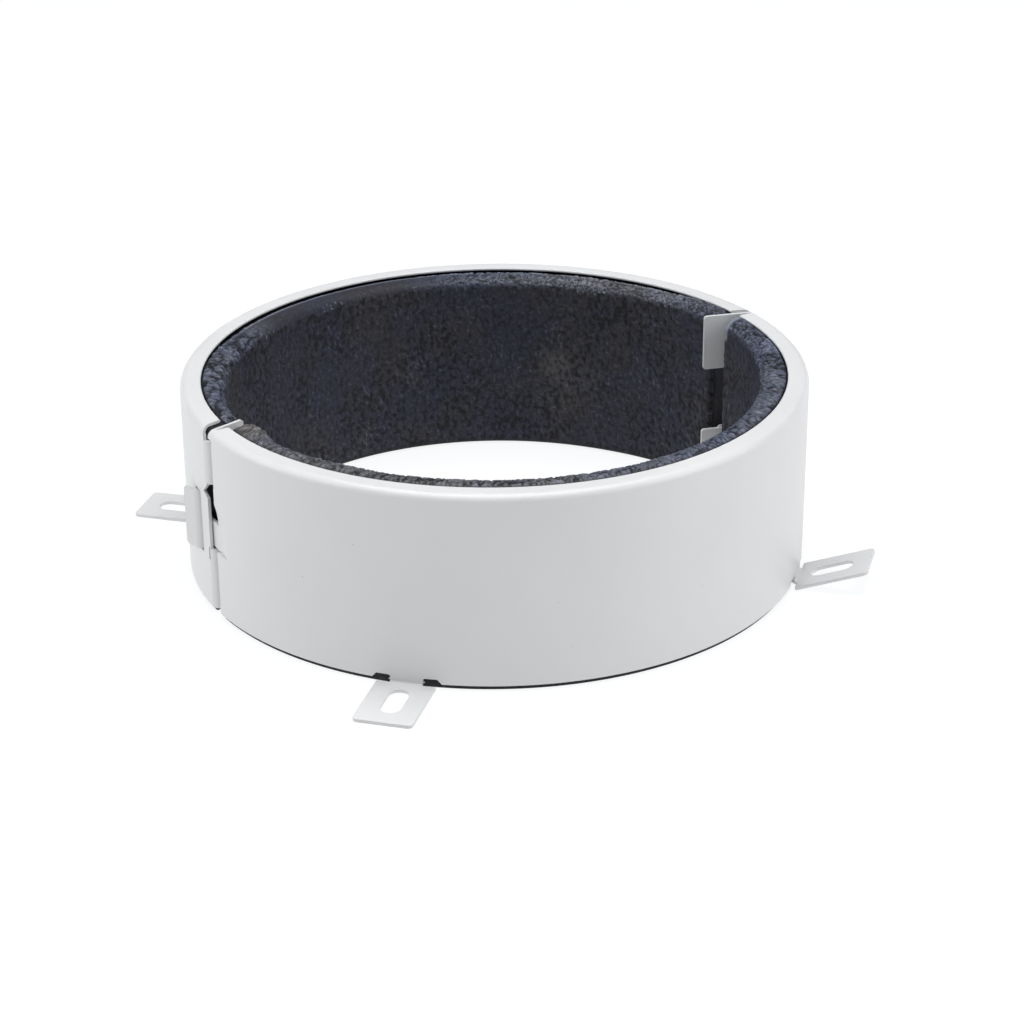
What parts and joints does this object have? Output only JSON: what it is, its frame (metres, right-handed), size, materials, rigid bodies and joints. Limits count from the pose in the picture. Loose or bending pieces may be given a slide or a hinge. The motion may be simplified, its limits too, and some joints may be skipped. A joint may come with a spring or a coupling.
{
  "type": "pipe fire collar",
  "caption": "Round split steel collar lined with dark intumescent strip; it hooks shut round a plastic pipe and is screwed by slotted tabs to a wall or ceiling to seal the opening in a fire.",
  "frame": {"origin": "on the pipe's axis, in the face of the wall or ceiling that the collar is screwed to", "axes": "+Z along the pipe, away from that face; the fixing tabs lie along X and Y, and the seams between the two halves lie at 45 degrees to them"},
  "size_m": [0.2477, 0.2486, 0.0633],
  "materials": {
    "powder_coat": "satin",
    "intumescent": "matte, finely granular"
  },
  "bodies": {
    "root": {"front_shell": "powder_coat", "back_shell": "powder_coat", "front_liner": "intumescent", "back_liner": "intumescent"}
  },
  "joints": []
}
